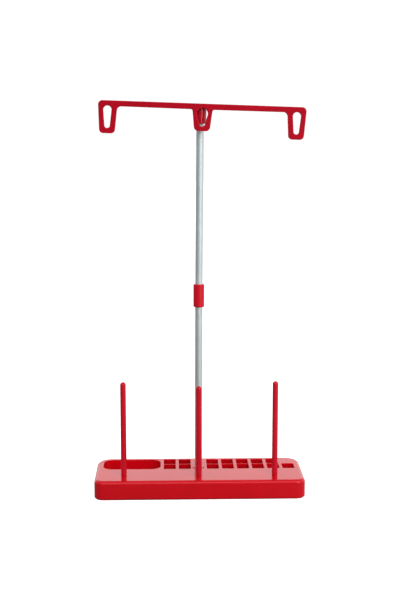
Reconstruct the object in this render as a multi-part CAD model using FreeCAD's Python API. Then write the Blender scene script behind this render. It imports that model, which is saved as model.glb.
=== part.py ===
import FreeCAD, Part
import math
import os

# Thread spool stand. Millimetres, +Z up, X to the right, the user stands at -Y.
# The origin is on the table, under the middle of the base.

# Wells and tray in the rear half of the base
well_width = 12.2
well_length = 15.6
well_rib = 3.4
well_divider = 1.3
well_corner_radius = 1.0
left_columns = 2
right_columns = 6
pole_block_width = 16.6
side_margin = 6.9
rear_margin = 6.5
pocket_depth = 11.0
pocket_wall = 1.8
tray_corner_radius = 10.0

# Base moulding
front_band_depth = 41.0
base_height = 19.5
front_corner_radius = 9.0
rear_corner_radius = 15.0
top_edge_radius = 3.5
foot_edge_chamfer = 1.5
base_wall = 2.4
deck_thickness = 2.4
rib_thickness = 1.6
rib_foot_gap = 0.6

# Spool pins and their sockets
pin_diameter = 5.8
pin_spigot_diameter = 5.2
pin_height = 96.6
centre_pin_height = 92.1
pin_shoulder = 0.3
pin_spacing = 76.0
pins_offset = 0.2
centre_pin_offset = 0.8
pin_from_front = 19.5
pin_depth = 12.0
pin_fit = 0.04
pin_boss_wall = 2.1

# Pole and its coupling
tube_diameter = 7.5
tube_wall = 0.8
pole_offset = 0.5
lower_tube_length = 195.5
upper_tube_length = 186.9
pole_depth = 17.0
pole_from_pockets = 6.7
pole_boss_wall = 2.7
pole_ring_height = 0.5
foot_play = 0.05
coupling_diameter = 11.2
coupling_length = 23.2
coupling_stop = 1.2
coupling_fit = 0.04
coupling_play = 0.05
coupling_end_chamfer = 0.7

# Thread guide arm
arm_length = 203.9
bar_height = 5.4
bar_bow = 0.4
bow_radius = 11000.0
arm_thickness = 3.2
arm_corner_radius = 4.2
eyelet_from_end = 9.45
eyelet_drop = 31.8
eyelet_root_width = 19.2
eyelet_foot_width = 15.1
eyelet_root_radius = 4.0
slot_top = 5.1
slot_head_radius = 3.95
slot_foot_radius = 2.6
slot_foot_rim = 5.2
middle_drop = 26.6
middle_root_width = 19.8
middle_foot_width = 15.2
middle_root_radius = 2.0
middle_foot_radius = 4.5
middle_slot_top = 4.4
middle_slot_head_radius = 5.3
middle_slot_foot_radius = 2.8
middle_slot_rim = 4.5
slot_lip = 0.6
arm_edge = 0.4
cap_edge = 0.8
cap_offset = 1.9
cap_length = 19.0
cap_roof = 2.4
cap_wall = 2.4
cap_draft = 0.15
cap_gap = 1.4
cap_play = 0.45
neck_height = 3.5
neck_flare = 3.0

# The gap left at the end of a tube, and round it
seat_gap = 0.03

# How far a cut runs on past the face it opens
overcut = 1.0

# Lengths shorter than this count as nothing
tiny = 1e-5


def lean(play, depth):
    return math.degrees(math.atan(play / depth))


def end_gap(angle):
    return seat_gap + tube_diameter / 2 * math.sin(math.radians(angle))


# Places worked out from the sizes above
side_wells = right_columns * well_width + (right_columns - 1) * well_rib
half_length = pole_block_width / 2 + side_wells + side_margin
base_depth = front_band_depth + 2 * well_length + well_divider + rear_margin
front_y = -base_depth / 2
rear_y = base_depth / 2
pocket_y = front_y + front_band_depth
pocket_floor = base_height - pocket_depth
hollow_top = base_height - deck_thickness
joined_top = hollow_top + deck_thickness / 4
pin_y = front_y + pin_from_front
pin_places = {
    "left": (-pins_offset - pin_spacing, pin_height),
    "centre": (-centre_pin_offset, centre_pin_height),
    "right": (-pins_offset + pin_spacing, pin_height),
}
pole_y = pocket_y + pole_from_pockets
pole_floor = base_height - pole_depth
pole_lean = lean(foot_play, pole_depth)
coupling_depth = (coupling_length - coupling_stop) / 2
upper_lean = lean(coupling_play, coupling_depth)
cap_bore_depth = cap_length - cap_roof
cap_bore = tube_diameter + cap_play + seat_gap
pole_bore = tube_diameter + foot_play + seat_gap
pin_floor = base_height - pin_depth
pin_bore = pin_spigot_diameter + pin_fit
arm_tilt = lean(cap_play, cap_bore_depth)
tube_low = pole_floor + end_gap(pole_lean)
lower_top = tube_low + lower_tube_length
upper_low = lower_top + coupling_stop + end_gap(upper_lean)
upper_top = upper_low + upper_tube_length
arm_reach = cap_bore / 2 + cap_wall + cap_gap + arm_thickness / 2
cap_top = -bar_bow
eyelet_x = arm_length / 2 - eyelet_from_end


def vec(x, y, z):
    return FreeCAD.Vector(x, y, z)


def prism(corners, place, rise):
    """A closed outline with rounded corners, pushed along rise.

    corners holds (u, v, radius); place turns (u, v) into a point in space.
    """
    edges = []
    count = len(corners)
    cut_points = []
    for i, (u, v, radius) in enumerate(corners):
        before = vec(corners[i - 1][0] - u, corners[i - 1][1] - v, 0).normalize()
        after = vec(corners[(i + 1) % count][0] - u, corners[(i + 1) % count][1] - v, 0).normalize()
        half = before.getAngle(after) / 2
        reach = radius / math.tan(half)
        middle = (before + after).normalize() * (radius / math.sin(half) - radius)
        corner = vec(u, v, 0)
        cut_points.append((corner + before * reach, corner + middle, corner + after * reach))
    for i, (start, middle, end) in enumerate(cut_points):
        a = place(start.x, start.y)
        b = place(middle.x, middle.y)
        c = place(end.x, end.y)
        if (start - end).Length > tiny:
            edges.append(Part.Arc(a, b, c).toShape())
        next_start = cut_points[(i + 1) % count][0]
        d = place(next_start.x, next_start.y)
        if (c - d).Length > tiny:
            edges.append(Part.LineSegment(c, d).toShape())
    return Part.Face(Part.Wire(edges)).extrude(rise)


def plan_block(x0, x1, y0, y1, z0, z1, radii):
    """A block standing on z0, with one corner radius for each corner in plan."""
    corners = [(x0, y0, radii[0]), (x1, y0, radii[1]), (x1, y1, radii[2]), (x0, y1, radii[3])]
    return prism(corners, lambda u, v: vec(u, v, z0), vec(0, 0, z1 - z0))


def cylinder(x, y, z0, z1, radius):
    return Part.makeCylinder(radius, z1 - z0, vec(x, y, z0))


def level_edges(shape, z):
    """The edges of a shape that lie wholly at one height."""
    return [e for e in shape.Edges if abs(e.BoundBox.ZMin - z) < tiny and abs(e.BoundBox.ZMax - z) < tiny]


def well_places():
    """Each well as (left, front), in rows from front to rear."""
    places = []
    pitch = well_width + well_rib
    for column in range(left_columns):
        for row in range(2):
            left = -pole_block_width / 2 - well_width - column * pitch
            places.append((left, pocket_y + row * (well_length + well_divider)))
    for column in range(right_columns):
        for row in range(2):
            # The round rear corner leaves no room for the last rear well
            if column == right_columns - 1 and row == 1:
                continue
            left = pole_block_width / 2 + column * pitch
            places.append((left, pocket_y + row * (well_length + well_divider)))
    return places


def pocket(x0, x1, y0, y1, radius):
    """What is cut away for a tray or a well."""
    return plan_block(x0, x1, y0, y1, pocket_floor, base_height + overcut, [radius] * 4)


def make_base():
    radii = [front_corner_radius, front_corner_radius, rear_corner_radius, rear_corner_radius]
    shell = plan_block(-half_length, half_length, front_y, rear_y, 0, base_height, radii)
    shell = shell.makeFillet(top_edge_radius, level_edges(shell, base_height))
    shell = shell.makeChamfer(foot_edge_chamfer, level_edges(shell, 0))

    # The hollow underneath keeps an even wall
    inner = [r - base_wall for r in radii]
    hollow = plan_block(
        -half_length + base_wall, half_length - base_wall,
        front_y + base_wall, rear_y - base_wall, -overcut, hollow_top, inner)
    shell = shell.cut(hollow)

    # Housings of the tray and the wells hang from the deck
    housing_floor = pocket_floor - pocket_wall
    tray_left = -half_length + side_margin
    wells_left = -pole_block_width / 2 - left_columns * well_width - (left_columns - 1) * well_rib
    tray_right = wells_left - well_rib
    wells_right = half_length - side_margin
    pocket_rear = rear_y - rear_margin
    grown = [tray_corner_radius + pocket_wall] * 4
    housings = [
        plan_block(tray_left - pocket_wall, tray_right + pocket_wall, pocket_y - pocket_wall,
                   pocket_rear + pocket_wall, housing_floor, joined_top, grown),
        plan_block(wells_left - pocket_wall, wells_right + pocket_wall, pocket_y - pocket_wall,
                   pocket_rear + pocket_wall, housing_floor, joined_top,
                   [well_corner_radius, well_corner_radius, rear_corner_radius - side_margin + pocket_wall,
                    well_corner_radius]),
    ]

    # Sockets for the pins and the pole, closed below
    pin_boss = pin_diameter / 2 + pin_boss_wall
    pole_boss = tube_diameter / 2 + pole_boss_wall
    bosses = []
    for x, _ in pin_places.values():
        bosses.append(cylinder(x, pin_y, rib_foot_gap, joined_top, pin_boss))
    bosses.append(cylinder(-pole_offset, pole_y, rib_foot_gap, base_height + pole_ring_height, pole_boss))

    # A grid of ribs ties the sockets and the housings to the walls
    ribs = []
    rib_height = joined_top - rib_foot_gap
    for y in (pin_y, pocket_y + well_length + well_divider / 2):
        ribs.append(Part.makeBox(
            2 * half_length - 2 * base_wall, rib_thickness, rib_height,
            vec(-half_length + base_wall, y - rib_thickness / 2, rib_foot_gap)))
    for step in range(-2, 3):
        x = step * pin_spacing / 2
        ribs.append(Part.makeBox(
            rib_thickness, base_depth - 2 * base_wall, rib_height,
            vec(x - rib_thickness / 2, front_y + base_wall, rib_foot_gap)))

    body = shell.multiFuse(housings + bosses + ribs)

    # Cut the tray, the wells and the sockets
    cuts = [pocket(tray_left, tray_right, pocket_y, pocket_rear, tray_corner_radius)]
    for left, front in well_places():
        cuts.append(pocket(left, left + well_width, front, front + well_length, well_corner_radius))
    for x, _ in pin_places.values():
        cuts.append(cylinder(x, pin_y, pin_floor, base_height + overcut, pin_bore / 2))
    cuts.append(cylinder(-pole_offset, pole_y, pole_floor, base_height + overcut, pole_bore / 2))
    body = body.cut(Part.makeCompound(cuts))
    return body.removeSplitter()


def make_pin(x, height):
    """A moulded pin with a round tip, standing on the shoulder of its thinner spigot."""
    radius = pin_diameter / 2
    spigot_radius = pin_spigot_diameter / 2
    shoulder_top = base_height + pin_shoulder
    tip_centre = base_height + height - radius
    spigot = cylinder(x, pin_y, pin_floor, base_height, spigot_radius)
    shoulder = Part.makeCone(spigot_radius, radius, pin_shoulder, vec(x, pin_y, base_height))
    shaft = cylinder(x, pin_y, shoulder_top, tip_centre, radius)
    tip = Part.makeSphere(radius, vec(x, pin_y, tip_centre))
    return spigot.multiFuse([shoulder, shaft, tip]).removeSplitter()


def tube(z0, length):
    """A length of tube, open at both ends."""
    outer = Part.makeCylinder(tube_diameter / 2, length, vec(0, 0, z0))
    inner = Part.makeCylinder(tube_diameter / 2 - tube_wall, length, vec(0, 0, z0))
    return outer.cut(inner)


def make_coupling(z0):
    """A sleeve with a stop across its middle; its upper bore is the looser one."""
    length = coupling_length
    body = Part.makeCylinder(coupling_diameter / 2, length, vec(0, 0, z0))
    body = body.makeChamfer(coupling_end_chamfer, level_edges(body, z0) + level_edges(body, z0 + length))
    lower_bore = (tube_diameter + coupling_fit) / 2
    upper_bore = (tube_diameter + coupling_fit + coupling_play) / 2
    lower = Part.makeCylinder(lower_bore, coupling_depth, vec(0, 0, z0))
    upper = Part.makeCylinder(upper_bore, coupling_depth, vec(0, 0, z0 + length - coupling_depth))
    return body.cut(lower).cut(upper)


def slot(x, head_z, head_radius, foot_z, foot_radius):
    """An egg-shaped slot through the arm: two rounds and their tangents."""
    spread = head_z - foot_z
    taper = math.asin((head_radius - foot_radius) / spread)
    side = vec(math.cos(taper), 0, -math.sin(taper))
    deep = arm_thickness
    ring = []
    for radius, z in ((head_radius, head_z), (foot_radius, foot_z)):
        ring.append((vec(x + side.x * radius, -deep, z + side.z * radius),
                     vec(x - side.x * radius, -deep, z + side.z * radius)))
    head_top = vec(x, -deep, head_z + head_radius)
    foot_low = vec(x, -deep, foot_z - foot_radius)
    edges = [
        Part.Arc(ring[0][1], head_top, ring[0][0]).toShape(),
        Part.LineSegment(ring[0][0], ring[1][0]).toShape(),
        Part.Arc(ring[1][0], foot_low, ring[1][1]).toShape(),
        Part.LineSegment(ring[1][1], ring[0][1]).toShape(),
    ]
    return Part.Face(Part.Wire(edges)).extrude(vec(0, 2 * deep, 0))


def rim_edges(plate, box, half):
    """The edges of a slot on both faces of the plate."""
    slack = 0.01
    rim = []
    for edge in plate.Edges:
        own = edge.BoundBox
        on_face = own.YLength < tiny and abs(abs(own.YMin) - half) < tiny
        across = own.XMin > box.XMin - slack and own.XMax < box.XMax + slack
        if on_face and across and own.ZMin > box.ZMin - slack and own.ZMax < box.ZMax + slack:
            rim.append(edge)
    return rim


def bar_top(x):
    """The height of the bar's top, which bows a little between its ends."""
    return cap_top * (1 - (2 * x / arm_length) ** 2)


def make_arm():
    """The arm in its own frame: z = 0 on the top of its ends, y = 0 midway in its thickness."""
    end = arm_length / 2
    root = eyelet_x - eyelet_root_width / 2
    foot = eyelet_foot_width / 2
    middle_root = middle_root_width / 2
    right_half = [
        (end, 0, arm_corner_radius),
        (eyelet_x + foot, -eyelet_drop, arm_corner_radius),
        (eyelet_x - foot, -eyelet_drop, arm_corner_radius),
        (root, bar_top(root) - bar_height, eyelet_root_radius),
        (middle_root, bar_top(middle_root) - bar_height, middle_root_radius),
        (middle_foot_width / 2, -middle_drop, middle_foot_radius),
    ]
    left_half = [(-x, z, radius) for x, z, radius in reversed(right_half)]
    outline = [(0, bar_top(0), bow_radius)] + right_half + left_half
    half = arm_thickness / 2
    plate = prism(outline, lambda u, v: vec(u, -half, v), vec(0, arm_thickness, 0))
    plate = plate.makeChamfer(arm_edge, [e for e in plate.Edges if e.BoundBox.YLength < tiny])

    head_z = -slot_top - slot_head_radius
    foot_z = -eyelet_drop + slot_foot_rim + slot_foot_radius
    middle_head_z = -middle_slot_top - middle_slot_head_radius
    middle_foot_z = -middle_drop + middle_slot_rim + middle_slot_foot_radius
    slots = [slot(side * eyelet_x, head_z, slot_head_radius, foot_z, slot_foot_radius) for side in (-1, 1)]
    slots.append(slot(0, middle_head_z, middle_slot_head_radius, middle_foot_z, middle_slot_foot_radius))
    for tool in slots:
        plate = plate.cut(tool)
        plate = plate.makeChamfer(slot_lip, rim_edges(plate, tool.BoundBox, half))

    # The cap behind the middle eyelet, tapered for the mould, and the neck that carries it
    radius = cap_bore / 2 + cap_wall
    cap_x = -cap_offset
    cap_foot = cap_top - cap_length
    cap = Part.makeCone(radius - cap_draft, radius, cap_length, vec(cap_x, arm_reach, cap_foot))
    cap = cap.makeChamfer(cap_edge, level_edges(cap, cap_top))
    wide = radius + neck_flare
    narrow = radius - cap_edge
    neck = Part.Face(Part.makePolygon([
        vec(cap_x - wide, 0, cap_top), vec(cap_x + wide, 0, cap_top),
        vec(cap_x + narrow, arm_reach, cap_top), vec(cap_x - narrow, arm_reach, cap_top),
        vec(cap_x - wide, 0, cap_top)])).extrude(vec(0, 0, -neck_height))
    arm = plate.fuse(neck).fuse(cap)
    bore_foot = vec(cap_x, arm_reach, cap_foot - overcut)
    bore = Part.makeCylinder(cap_bore / 2, cap_bore_depth + overcut, bore_foot)
    return arm.cut(bore).removeSplitter()


def place_pole(shape):
    """Leans what stands on the pole's foot as its play in the base allows."""
    shape.rotate(vec(0, 0, base_height - pole_depth / 2), vec(0, 1, 0), pole_lean)
    shape.translate(vec(-pole_offset, pole_y, 0))
    return shape


def place_upper(shape):
    """Leans what stands in the coupling as its play there allows."""
    shape.rotate(vec(0, 0, upper_low + coupling_depth / 2), vec(0, 1, 0), upper_lean)
    return place_pole(shape)


def place_arm(shape):
    """Sets the arm's cap over the pole's top, askew as its play allows."""
    shape.translate(vec(cap_offset, -arm_reach, upper_top + cap_roof + end_gap(arm_tilt) - cap_top))
    shape.rotate(vec(0, 0, upper_top - cap_bore_depth / 2), vec(0, 1, 0), arm_tilt)
    return place_upper(shape)


def main():
    os.makedirs("parts", exist_ok=True)
    pieces = {
        "base": make_base(),
        "spool_pin_left": make_pin(*pin_places["left"]),
        "spool_pin_centre": make_pin(*pin_places["centre"]),
        "spool_pin_right": make_pin(*pin_places["right"]),
        "pole_lower": place_pole(tube(tube_low, lower_tube_length)),
        "pole_coupling": place_pole(make_coupling(lower_top - coupling_depth)),
        "pole_upper": place_upper(tube(upper_low, upper_tube_length)),
        "thread_guide_arm": place_arm(make_arm()),
    }
    for name, shape in pieces.items():
        shape.exportStep("parts/" + name + ".step")
        box = shape.BoundBox
        print(name, shape.isValid(), len(shape.Solids), "solid", round(shape.Volume / 1000, 2), "cm3",
              "x", round(box.XMin, 2), round(box.XMax, 2), "y", round(box.YMin, 2), round(box.YMax, 2),
              "z", round(box.ZMin, 2), round(box.ZMax, 2))


main()
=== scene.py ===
import math

import bmesh
import bpy
from mathutils import Matrix, Vector


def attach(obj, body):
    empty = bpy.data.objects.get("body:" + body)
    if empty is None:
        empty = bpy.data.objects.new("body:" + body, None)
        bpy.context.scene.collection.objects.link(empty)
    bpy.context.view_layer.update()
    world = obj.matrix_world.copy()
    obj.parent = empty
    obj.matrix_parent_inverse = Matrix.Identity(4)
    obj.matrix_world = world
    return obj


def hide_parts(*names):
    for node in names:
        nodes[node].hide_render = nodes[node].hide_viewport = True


# A stand for three spools of thread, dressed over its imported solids. Metres, +Z up, the user at -Y.
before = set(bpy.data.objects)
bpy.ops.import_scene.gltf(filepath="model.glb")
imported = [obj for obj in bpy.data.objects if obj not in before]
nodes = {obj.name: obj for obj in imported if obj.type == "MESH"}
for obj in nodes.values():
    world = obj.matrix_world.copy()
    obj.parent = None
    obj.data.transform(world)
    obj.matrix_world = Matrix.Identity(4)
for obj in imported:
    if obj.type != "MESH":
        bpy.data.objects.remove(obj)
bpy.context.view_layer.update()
print("frame loaded")


# Colours and nodes
def linear(red, green, blue):  # a display colour from 0 to 255, as a shader takes it
    def one(value):
        value = value / 255
        return value / 12.92 if value <= 0.04045 else ((value + 0.055) / 1.055) ** 2.4
    return (one(red), one(green), one(blue), 1.0)


def addNode(tree, kind, **values):
    node = tree.nodes.new(kind)
    for name, value in values.items():
        if name in node.inputs:
            node.inputs[name].default_value = value
        else:
            setattr(node, name, value)
    return node


def newMaterial(name):
    material = bpy.data.materials.new(name)
    material.use_nodes = True
    tree = material.node_tree
    tree.nodes.clear()
    output = tree.nodes.new("ShaderNodeOutputMaterial")
    shader = tree.nodes.new("ShaderNodeBsdfPrincipled")
    tree.links.new(shader.outputs["BSDF"], output.inputs["Surface"])
    return material, tree, shader


def rampNode(tree, source, stops):  # stops are (position, colour or grey)
    ramp = tree.nodes.new("ShaderNodeValToRGB")
    tree.links.new(source, ramp.inputs["Fac"])
    elements = ramp.color_ramp.elements
    while len(elements) < len(stops):
        elements.new(0.5)
    for element, (position, colour) in zip(elements, stops):
        element.position = position
        element.color = colour if hasattr(colour, "__len__") else (colour, colour, colour, 1.0)
    return ramp


def noiseNode(tree, point, scale, detail, roughness=0.5, distortion=0.0):
    noise = addNode(tree, "ShaderNodeTexNoise", Scale=scale, Detail=detail, Roughness=roughness,
                    Distortion=distortion)
    tree.links.new(point, noise.inputs["Vector"])
    return noise.outputs["Fac"]


def rangeNode(tree, source, low, high, bottom, top, kind="SMOOTHSTEP"):  # bottom and top may be sockets
    node = addNode(tree, "ShaderNodeMapRange", interpolation_type=kind)
    tree.links.new(source, node.inputs["Value"])
    for name, value in (("From Min", low), ("From Max", high), ("To Min", bottom), ("To Max", top)):
        if hasattr(value, "is_output"):
            tree.links.new(value, node.inputs[name])
        else:
            node.inputs[name].default_value = value
    return node.outputs["Result"]


# Moulded plastic: flow marks in the colour, a slightly uneven gloss, an orange-peel skin, a fine grain
plasticLook = {
    "base": {"colour": linear(194, 6, 21), "shade": linear(184, 5, 17), "roughness": 0.14, "peel": 0.05},
    "pins": {"colour": linear(188, 8, 32), "shade": linear(177, 7, 27), "roughness": 0.14, "peel": 0.04},
    # the arm's colour is set darker than the base's as painted shade: the same plastic, lit less at the
    # arm's height
    "arm": {"colour": linear(168, 5, 28), "shade": linear(157, 4, 24), "roughness": 0.14, "peel": 0.05},
    "coupling": {"colour": linear(197, 9, 33), "shade": linear(187, 8, 28), "roughness": 0.13, "peel": 0.04},
}

# What all four share; a noise has a scale, a detail, a roughness and a distortion, in this order
plasticSkin = {
    "flow": (26.0, 3.0, 0.55, 0.6),
    "flowEnds": (0.3, 0.7),
    "cloud": (55.0, 5.0, 0.7),
    "cloudGloss": ((0.35, 0.0), (0.62, 0.04), (0.78, 0.12)),  # how much rougher at each value
    "peel": (420.0, 2.0),
    "peelDepth": 0.0006,
    "grain": (2600.0, 1.0),
    "grainDepth": 0.0001,
    "grainStrength": 0.02,
    "index": 1.46,
    "tint": (1.0, 0.48, 0.56, 1.0),  # of the shine
}


def plastic(name, look):
    skin = plasticSkin
    material, tree, shader = newMaterial(name)
    point = addNode(tree, "ShaderNodeTexCoord").outputs["Object"]
    flow = noiseNode(tree, point, *skin["flow"])
    colour = rampNode(tree, flow, list(zip(skin["flowEnds"], (look["shade"], look["colour"]))))
    tree.links.new(colour.outputs["Color"], shader.inputs["Base Color"])
    stops = [(value, look["roughness"] + more) for value, more in skin["cloudGloss"]]
    gloss = rampNode(tree, noiseNode(tree, point, *skin["cloud"]), stops)
    tree.links.new(gloss.outputs["Color"], shader.inputs["Roughness"])
    peel = addNode(tree, "ShaderNodeBump", Strength=look["peel"], Distance=skin["peelDepth"])
    tree.links.new(noiseNode(tree, point, *skin["peel"]), peel.inputs["Height"])
    grain = addNode(tree, "ShaderNodeBump", Strength=skin["grainStrength"], Distance=skin["grainDepth"])
    tree.links.new(noiseNode(tree, point, *skin["grain"]), grain.inputs["Height"])
    tree.links.new(peel.outputs["Normal"], grain.inputs["Normal"])
    tree.links.new(grain.outputs["Normal"], shader.inputs["Normal"])
    shader.inputs["IOR"].default_value = skin["index"]
    shader.inputs["Specular Tint"].default_value = skin["tint"]
    return material


# Drawn tube: fine lines along its length, soft smudges and a satin shine
tubeLook = {
    "bright": linear(196, 205, 205),
    "dull": linear(185, 194, 194),
    "smudges": (40.0, 4.0, 0.6),
    "lines": (1.0, 4.0, 0.6),
    "lineStretch": (900.0, 900.0, 6.0),  # close together across the tube, long along it
    "lineStrength": 0.08,
    "lineDepth": 0.0001,
    "gloss": (0.54, 0.66),
    "ends": (0.3, 0.7),
}


def drawnMetal(name, look):
    material, tree, shader = newMaterial(name)
    point = addNode(tree, "ShaderNodeTexCoord").outputs["Object"]
    stretch = addNode(tree, "ShaderNodeMapping", Scale=look["lineStretch"])
    tree.links.new(point, stretch.inputs["Vector"])
    lines = noiseNode(tree, stretch.outputs["Vector"], *look["lines"])
    smudges = noiseNode(tree, point, *look["smudges"])
    colour = rampNode(tree, smudges, list(zip(look["ends"], (look["dull"], look["bright"]))))
    tree.links.new(colour.outputs["Color"], shader.inputs["Base Color"])
    gloss = rampNode(tree, lines, list(zip(look["ends"], look["gloss"])))
    tree.links.new(gloss.outputs["Color"], shader.inputs["Roughness"])
    skin = addNode(tree, "ShaderNodeBump", Strength=look["lineStrength"], Distance=look["lineDepth"])
    tree.links.new(lines, skin.inputs["Height"])
    tree.links.new(skin.outputs["Normal"], shader.inputs["Normal"])
    shader.inputs["Metallic"].default_value = 1.0
    return material


basePlastic = plastic("basePlastic", plasticLook["base"])
pinPlastic = plastic("pinPlastic", plasticLook["pins"])
# the arm's material holds painted shade in its darker colour
armPlasticPaintedShade = plastic("armPlasticPaintedShade", plasticLook["arm"])
couplingPlastic = plastic("couplingPlastic", plasticLook["coupling"])
tubeMetal = drawnMetal("tubeMetal", tubeLook)
print("materials done")


# Every piece stands for one solid and rides on the only body
def place(name, mesh, material, node):
    mesh.materials.clear()
    mesh.materials.append(material)
    for face in mesh.polygons:
        face.use_smooth = True
    piece = bpy.data.objects.new(name, mesh)
    bpy.context.scene.collection.objects.link(piece)
    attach(piece, "root")
    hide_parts(node)
    return piece


def evenNormals(piece):  # flat faces shade flat, and only the small rounds turn
    even = piece.modifiers.new("even", "WEIGHTED_NORMAL")
    even.weight = 90
    even.keep_sharp = False


# The two flat mouldings: the solid's own form, each sharp edge rounded as its mould leaves it
mouldings = {
    "baseMoulding": {
        "node": "base",
        "slot": "base_plastic",
        "fine": 0.00004,
        # Height of a level edge and its round: rims, floors of the tray and wells, foot above and below
        "rounds": ((0.0195, 0.00055), (0.0085, 0.0004), (0.0015, 0.0003), (0.0, 0.0003)),
        # Sockets of the three pins and of the pole stay crisp: place and reach
        "sockets": ((-0.0762, -0.0205, 0.004), (-0.0008, -0.0205, 0.004), (0.0758, -0.0205, 0.004),
                    (-0.0005, 0.0077, 0.0072)),
    },
    "guideArm": {
        "node": "thread_guide_arm",
        "slot": "arm_plastic",
        "fine": 0.00013,
        "rounds": (),
        "sockets": (),
    },
}

# How an edge is read and rounded, with angles in degrees
edges = {
    "weld": 0.000001,
    "flat": 0.4,
    "sharp": 24.0,
    "level": 0.00002,
    "steps": 3,
}


def edgeRound(look, edge):  # how large a round this edge gets, and none where the surface runs on
    if len(edge.link_faces) != 2 or edge.calc_face_angle() < math.radians(edges["sharp"]):
        return 0.0
    ends = [vert.co for vert in edge.verts]
    for x, y, reach in look["sockets"]:
        if all(math.hypot(end.x - x, end.y - y) < reach for end in ends):
            return look["fine"]
    for height, size in look["rounds"]:
        if all(abs(end.z - height) < edges["level"] for end in ends):
            return size
    return look["fine"]


def moulding(name, material):
    look = mouldings[name]
    shape = bmesh.new()
    shape.from_mesh(nodes[look["node"]].data)
    bmesh.ops.remove_doubles(shape, verts=shape.verts, dist=edges["weld"])
    bmesh.ops.dissolve_limit(shape, angle_limit=math.radians(edges["flat"]), verts=shape.verts,
                             edges=shape.edges)
    widest = max([look["fine"]] + [size for height, size in look["rounds"]])
    weight = shape.edges.layers.float.new("bevel_weight_edge")
    for edge in shape.edges:
        edge[weight] = edgeRound(look, edge) / widest
    mesh = bpy.data.meshes.new(name)
    shape.to_mesh(mesh)
    shape.free()
    piece = place(name, mesh, material, look["node"])
    soft = piece.modifiers.new("soft", "BEVEL")
    soft.limit_method = "WEIGHT"
    soft.width = widest
    soft.segments = edges["steps"]
    soft.loop_slide = False  # even widths, where a seam of the deck meets a rim at a slant
    soft.use_clamp_overlap = False
    evenNormals(piece)


moulding("baseMoulding", basePlastic)
moulding("guideArm", armPlasticPaintedShade)
print("mouldings done")


# Turned pieces: an outline of (radius, height) goes round the line from low to high
def turned(name, outline, low, high, sides, material, node):
    axis = Vector(high) - Vector(low)
    lean = Vector((0, 0, 1)).rotation_difference(axis).to_matrix().to_4x4()
    turn = Matrix.Translation(Vector(low)) @ lean
    points = []
    rings = []
    for radius, height in outline:
        if radius == 0:  # a pole is one point
            rings.append([len(points)])
            points.append(turn @ Vector((0, 0, height)))
            continue
        rings.append(range(len(points), len(points) + sides))
        for step in range(sides):
            angle = 2 * math.pi * step / sides
            points.append(turn @ Vector((radius * math.cos(angle), radius * math.sin(angle), height)))
    closed = outline[0][0] > 0
    pairs = list(zip(rings, rings[1:] + rings[:1])) if closed else list(zip(rings, rings[1:]))
    faces = []
    for under, over in pairs:
        for step in range(sides):
            after = (step + 1) % sides
            face = [under[step % len(under)], under[after % len(under)],
                    over[after % len(over)], over[step % len(over)]]
            faces.append(list(dict.fromkeys(face)))
    mesh = bpy.data.meshes.new(name)
    mesh.from_pydata(points, [], faces)
    evenNormals(place(name, mesh, material, node))


# An arc of the outline about (radius, height), its angles in degrees from outwards
def roundCorner(radius, height, size, start, end, steps):
    arc = []
    for step in range(steps + 1):
        angle = math.radians(start + (end - start) * step / steps)
        arc.append((radius + size * math.cos(angle), height + size * math.sin(angle)))
    return arc


pins = {
    "radius": 0.0029,
    "spigotRadius": 0.0026,
    "spigotLength": 0.012,
    "shoulder": 0.0003,
    "footRound": 0.0004,
    "foot": 0.0075,
    "y": -0.0205,
    "places": {"left": -0.0762, "centre": -0.0008, "right": 0.0758},
    "height": {"left": 0.0966, "centre": 0.0921, "right": 0.0966},
    "rings": (0.03, 0.25, 0.5, 0.75, 0.97),  # parts of the free wall
    "footSteps": 4,
    "tipSteps": 12,
    "tipEnd": 82,  # degrees of the tip, short of its pole
    "sides": 48,
}


def spoolPin(side):
    radius = pins["radius"]
    small = pins["footRound"]
    top = pins["spigotLength"] + pins["height"][side]
    free = pins["spigotLength"] + pins["shoulder"]
    low = Vector((pins["places"][side], pins["y"], pins["foot"]))
    outline = [(0, 0)]
    outline += roundCorner(pins["spigotRadius"] - small, small, small, -90, 0, pins["footSteps"])
    outline += [(pins["spigotRadius"], pins["spigotLength"]), (radius, free)]
    outline += [(radius, free + (top - radius - free) * part) for part in pins["rings"]]
    outline += roundCorner(0, top - radius, radius, 0, pins["tipEnd"], pins["tipSteps"])
    outline.append((0, top))
    turned("spoolPin_" + side, outline, low, low + Vector((0, 0, 1)), pins["sides"], pinPlastic,
           "spool_pin_" + side)


tubes = {
    "radius": 0.00375,
    "wall": 0.0008,
    "rim": 0.00025,
    "rimSteps": 3,
    "rings": (0.25, 0.5, 0.75),  # parts of the length
    "sides": 64,
    "poleLower": {
        "low": (-0.000525, 0.0077, 0.002541),
        "high": (0.00005, 0.0077, 0.19804),
        "node": "pole_lower",
    },
    "poleUpper": {
        "low": (0.000029, 0.0077, 0.199287),
        "high": (0.001428, 0.0077, 0.386182),
        "node": "pole_upper",
    },
}


def tube(name):
    own = tubes[name]
    length = (Vector(own["high"]) - Vector(own["low"])).length
    radius = tubes["radius"]
    bore = radius - tubes["wall"]
    rim = tubes["rim"]
    steps = tubes["rimSteps"]
    outline = roundCorner(radius - rim, rim, rim, -90, 0, steps)
    outline += [(radius, length * part) for part in tubes["rings"]]
    outline += roundCorner(radius - rim, length - rim, rim, 0, 90, steps)
    outline += roundCorner(bore + rim, length - rim, rim, 90, 180, steps)
    outline += [(bore, length * part) for part in reversed(tubes["rings"])]
    outline += roundCorner(bore + rim, rim, rim, 180, 270, steps)
    turned(name, outline, own["low"], own["high"], tubes["sides"], tubeMetal, own["node"])


coupling = {
    "low": (0.000018, 0.0077, 0.18704),
    "high": (0.000086, 0.0077, 0.21024),
    "radius": 0.0056,
    "endRound": 0.0007,
    "endSteps": 5,
    "lowerBore": 0.00377,
    "upperBore": 0.003795,
    "stop": 0.0012,
    "mouthRound": 0.0003,
    "mouthSteps": 3,
    "sides": 64,
}


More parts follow.
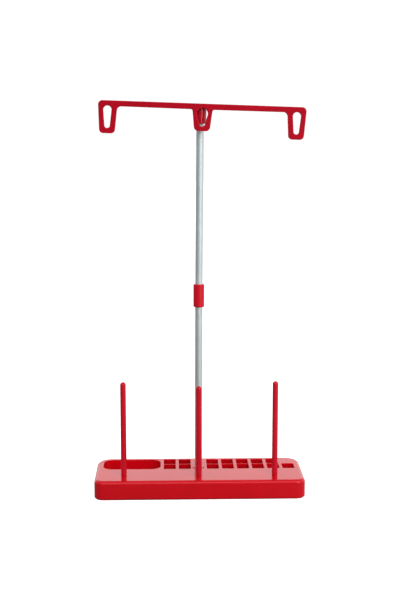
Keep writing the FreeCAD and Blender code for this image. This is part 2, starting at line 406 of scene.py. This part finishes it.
def poleCoupling():
    length = (Vector(coupling["high"]) - Vector(coupling["low"])).length
    depth = (length - coupling["stop"]) / 2
    radius = coupling["radius"]
    end = coupling["endRound"]
    endSteps = coupling["endSteps"]
    lip = coupling["mouthRound"]
    lipSteps = coupling["mouthSteps"]
    outline = [(0, depth), (coupling["lowerBore"], depth)]
    outline += roundCorner(coupling["lowerBore"] + lip, lip, lip, 180, 270, lipSteps)
    outline += roundCorner(radius - end, end, end, -90, 0, endSteps)
    outline.append((radius, length / 2))
    outline += roundCorner(radius - end, length - end, end, 0, 90, endSteps)
    outline += roundCorner(coupling["upperBore"] + lip, length - lip, lip, 90, 180, lipSteps)
    outline += [(coupling["upperBore"], length - depth), (0, length - depth)]
    turned("poleCoupling", outline, coupling["low"], coupling["high"], coupling["sides"], couplingPlastic,
           "pole_coupling")


for side in pins["places"]:
    spoolPin(side)
tube("poleLower")
tube("poleUpper")
poleCoupling()
print("turned pieces done")


# Lit acrylic that the stand is shown on
floorLook = {
    "size": 12.0,
    "pale": (0.86, 0.88),
    "marks": (3.0, 2.0),  # noise: scale and detail
    "markEnds": (0.3, 0.7),
    "glow": 0.62,
    "castPale": 0.22,  # what the stand gets from it, which is duller
    "castGlow": 0.55,  # and only from its right side
    "castReach": (0.02, 0.35),
    "roughness": 0.75,
}


def makeFloor():
    half = floorLook["size"] / 2
    mesh = bpy.data.meshes.new("floor")
    corners = [(-half, -half, 0), (half, -half, 0), (half, half, 0), (-half, half, 0)]
    mesh.from_pydata(corners, [], [(0, 1, 2, 3)])
    floor = bpy.data.objects.new("floor", mesh)
    bpy.context.scene.collection.objects.link(floor)
    material, tree, shader = newMaterial("litAcrylic")
    point = addNode(tree, "ShaderNodeTexCoord").outputs["Object"]
    marks = noiseNode(tree, point, *floorLook["marks"])
    colour = rampNode(tree, marks, list(zip(floorLook["markEnds"], floorLook["pale"])))
    split = addNode(tree, "ShaderNodeSeparateXYZ")
    tree.links.new(point, split.inputs["Vector"])
    right = rangeNode(tree, split.outputs["X"], *floorLook["castReach"], 0.0, floorLook["castGlow"])
    path = tree.nodes.new("ShaderNodeLightPath")

    def forCamera(socket, cast, seen):  # one value for the stand, another where the camera sees the floor
        chosen = rangeNode(tree, path.outputs["Is Camera Ray"], 0.0, 1.0, cast, seen, "LINEAR")
        tree.links.new(chosen, shader.inputs[socket])

    forCamera("Base Color", floorLook["castPale"], colour.outputs["Color"])
    forCamera("Emission Strength", right, floorLook["glow"])
    shader.inputs["Roughness"].default_value = floorLook["roughness"]
    shader.inputs["Emission Color"].default_value = (1, 1, 1, 1)
    mesh.materials.append(material)


# White studio round the stand, as its shine sees it
studio = {
    # Brightness by the angle in degrees from the front, right turn positive
    "round": [(-180, 1.5), (-125, 1.4), (-105, 0.8), (-80, 0.45), (-25, 0.25), (0, 0.2), (15, 0.25),
              (60, 1.2), (100, 1.4), (180, 1.5)],
    "brightest": 1.6,
    "high": 1.05,
    "highFrom": (0.25, 0.5),
    "zenith": 0.45,
    "zenithFrom": (0.7, 0.92),
    "backdrop": 1.05,  # where the camera sees it
}


def makeWorld():  # dim in front, bright at the right, behind and at the far left, less so overhead
    world = bpy.data.worlds.new("studio")
    bpy.context.scene.world = world
    world.use_nodes = True
    tree = world.node_tree
    tree.nodes.clear()
    output = tree.nodes.new("ShaderNodeOutputWorld")
    direction = addNode(tree, "ShaderNodeTexCoord").outputs["Generated"]
    split = addNode(tree, "ShaderNodeSeparateXYZ")
    tree.links.new(direction, split.inputs["Vector"])
    turn = addNode(tree, "ShaderNodeMath", operation="ARCTAN2")
    front = addNode(tree, "ShaderNodeMath", operation="MULTIPLY")
    front.inputs[1].default_value = -1.0
    tree.links.new(split.outputs["Y"], front.inputs[0])
    tree.links.new(split.outputs["X"], turn.inputs[0])
    tree.links.new(front.outputs["Value"], turn.inputs[1])
    angle = rangeNode(tree, turn.outputs["Value"], -math.pi, math.pi, 0.0, 1.0, "LINEAR")
    top = studio["brightest"]
    stops = [((degrees + 180) / 360, value / top) for degrees, value in studio["round"]]
    ring = rampNode(tree, angle, stops)
    around = rangeNode(tree, ring.outputs["Color"], 0.0, 1.0, 0.0, top, "LINEAR")
    raised = rangeNode(tree, split.outputs["Z"], *studio["highFrom"], around, studio["high"])
    level = rangeNode(tree, split.outputs["Z"], *studio["zenithFrom"], raised, studio["zenith"])

    lit = addNode(tree, "ShaderNodeBackground", Color=(1, 1, 1, 1))
    tree.links.new(level, lit.inputs["Strength"])
    seen = addNode(tree, "ShaderNodeBackground", Color=(1, 1, 1, 1), Strength=studio["backdrop"])
    path = tree.nodes.new("ShaderNodeLightPath")
    choose = tree.nodes.new("ShaderNodeMixShader")
    tree.links.new(path.outputs["Is Camera Ray"], choose.inputs[0])
    tree.links.new(lit.outputs[0], choose.inputs[1])
    tree.links.new(seen.outputs[0], choose.inputs[2])
    tree.links.new(choose.outputs[0], output.inputs["Surface"])


# Each light: place, the point it faces, width and height, power in watts
lights = {
    "rightBox": {"place": (0.72, -1.12, 0.56), "facing": (0.0, 0.0, 0.3), "size": (0.6, 1.1), "power": 7.0},
    "frontBox": {"place": (0.2, -1.7, 1.65), "facing": (0.0, 0.0, 0.2), "size": (2.4, 1.7), "power": 23.0},
}


def softBox(name):
    look = lights[name]
    light = bpy.data.lights.new(name, "AREA")
    light.shape = "RECTANGLE"
    light.size, light.size_y = look["size"]
    light.energy = look["power"]
    holder = bpy.data.objects.new(name, light)
    bpy.context.scene.collection.objects.link(holder)
    holder.location = look["place"]
    aim = Vector(look["facing"]) - Vector(look["place"])
    holder.rotation_euler = aim.to_track_quat("-Z", "Y").to_euler()


camera = {
    "place": (-0.03026, -1.11656, 0.37107),
    "azimuth": -1.63,
    "down": 8.98,
    "focalPixels": 1128.0,
    "imageHeight": 601,  # the picture is 401 by 601
    "sensor": 24.0,
    "farClip": 50.0,
}


def makeCamera():
    data = bpy.data.cameras.new("camera")
    data.sensor_fit = "VERTICAL"
    data.sensor_height = camera["sensor"]
    data.lens = camera["sensor"] * camera["focalPixels"] / camera["imageHeight"]
    data.clip_end = camera["farClip"]
    holder = bpy.data.objects.new("camera", data)
    bpy.context.scene.collection.objects.link(holder)
    holder.location = camera["place"]
    holder.rotation_euler = (math.radians(90 - camera["down"]), 0, math.radians(camera["azimuth"]))
    bpy.context.scene.camera = holder


makeFloor()
makeWorld()
for name in lights:
    softBox(name)
makeCamera()
bpy.context.scene.view_settings.view_transform = "Standard"
print("stage done")
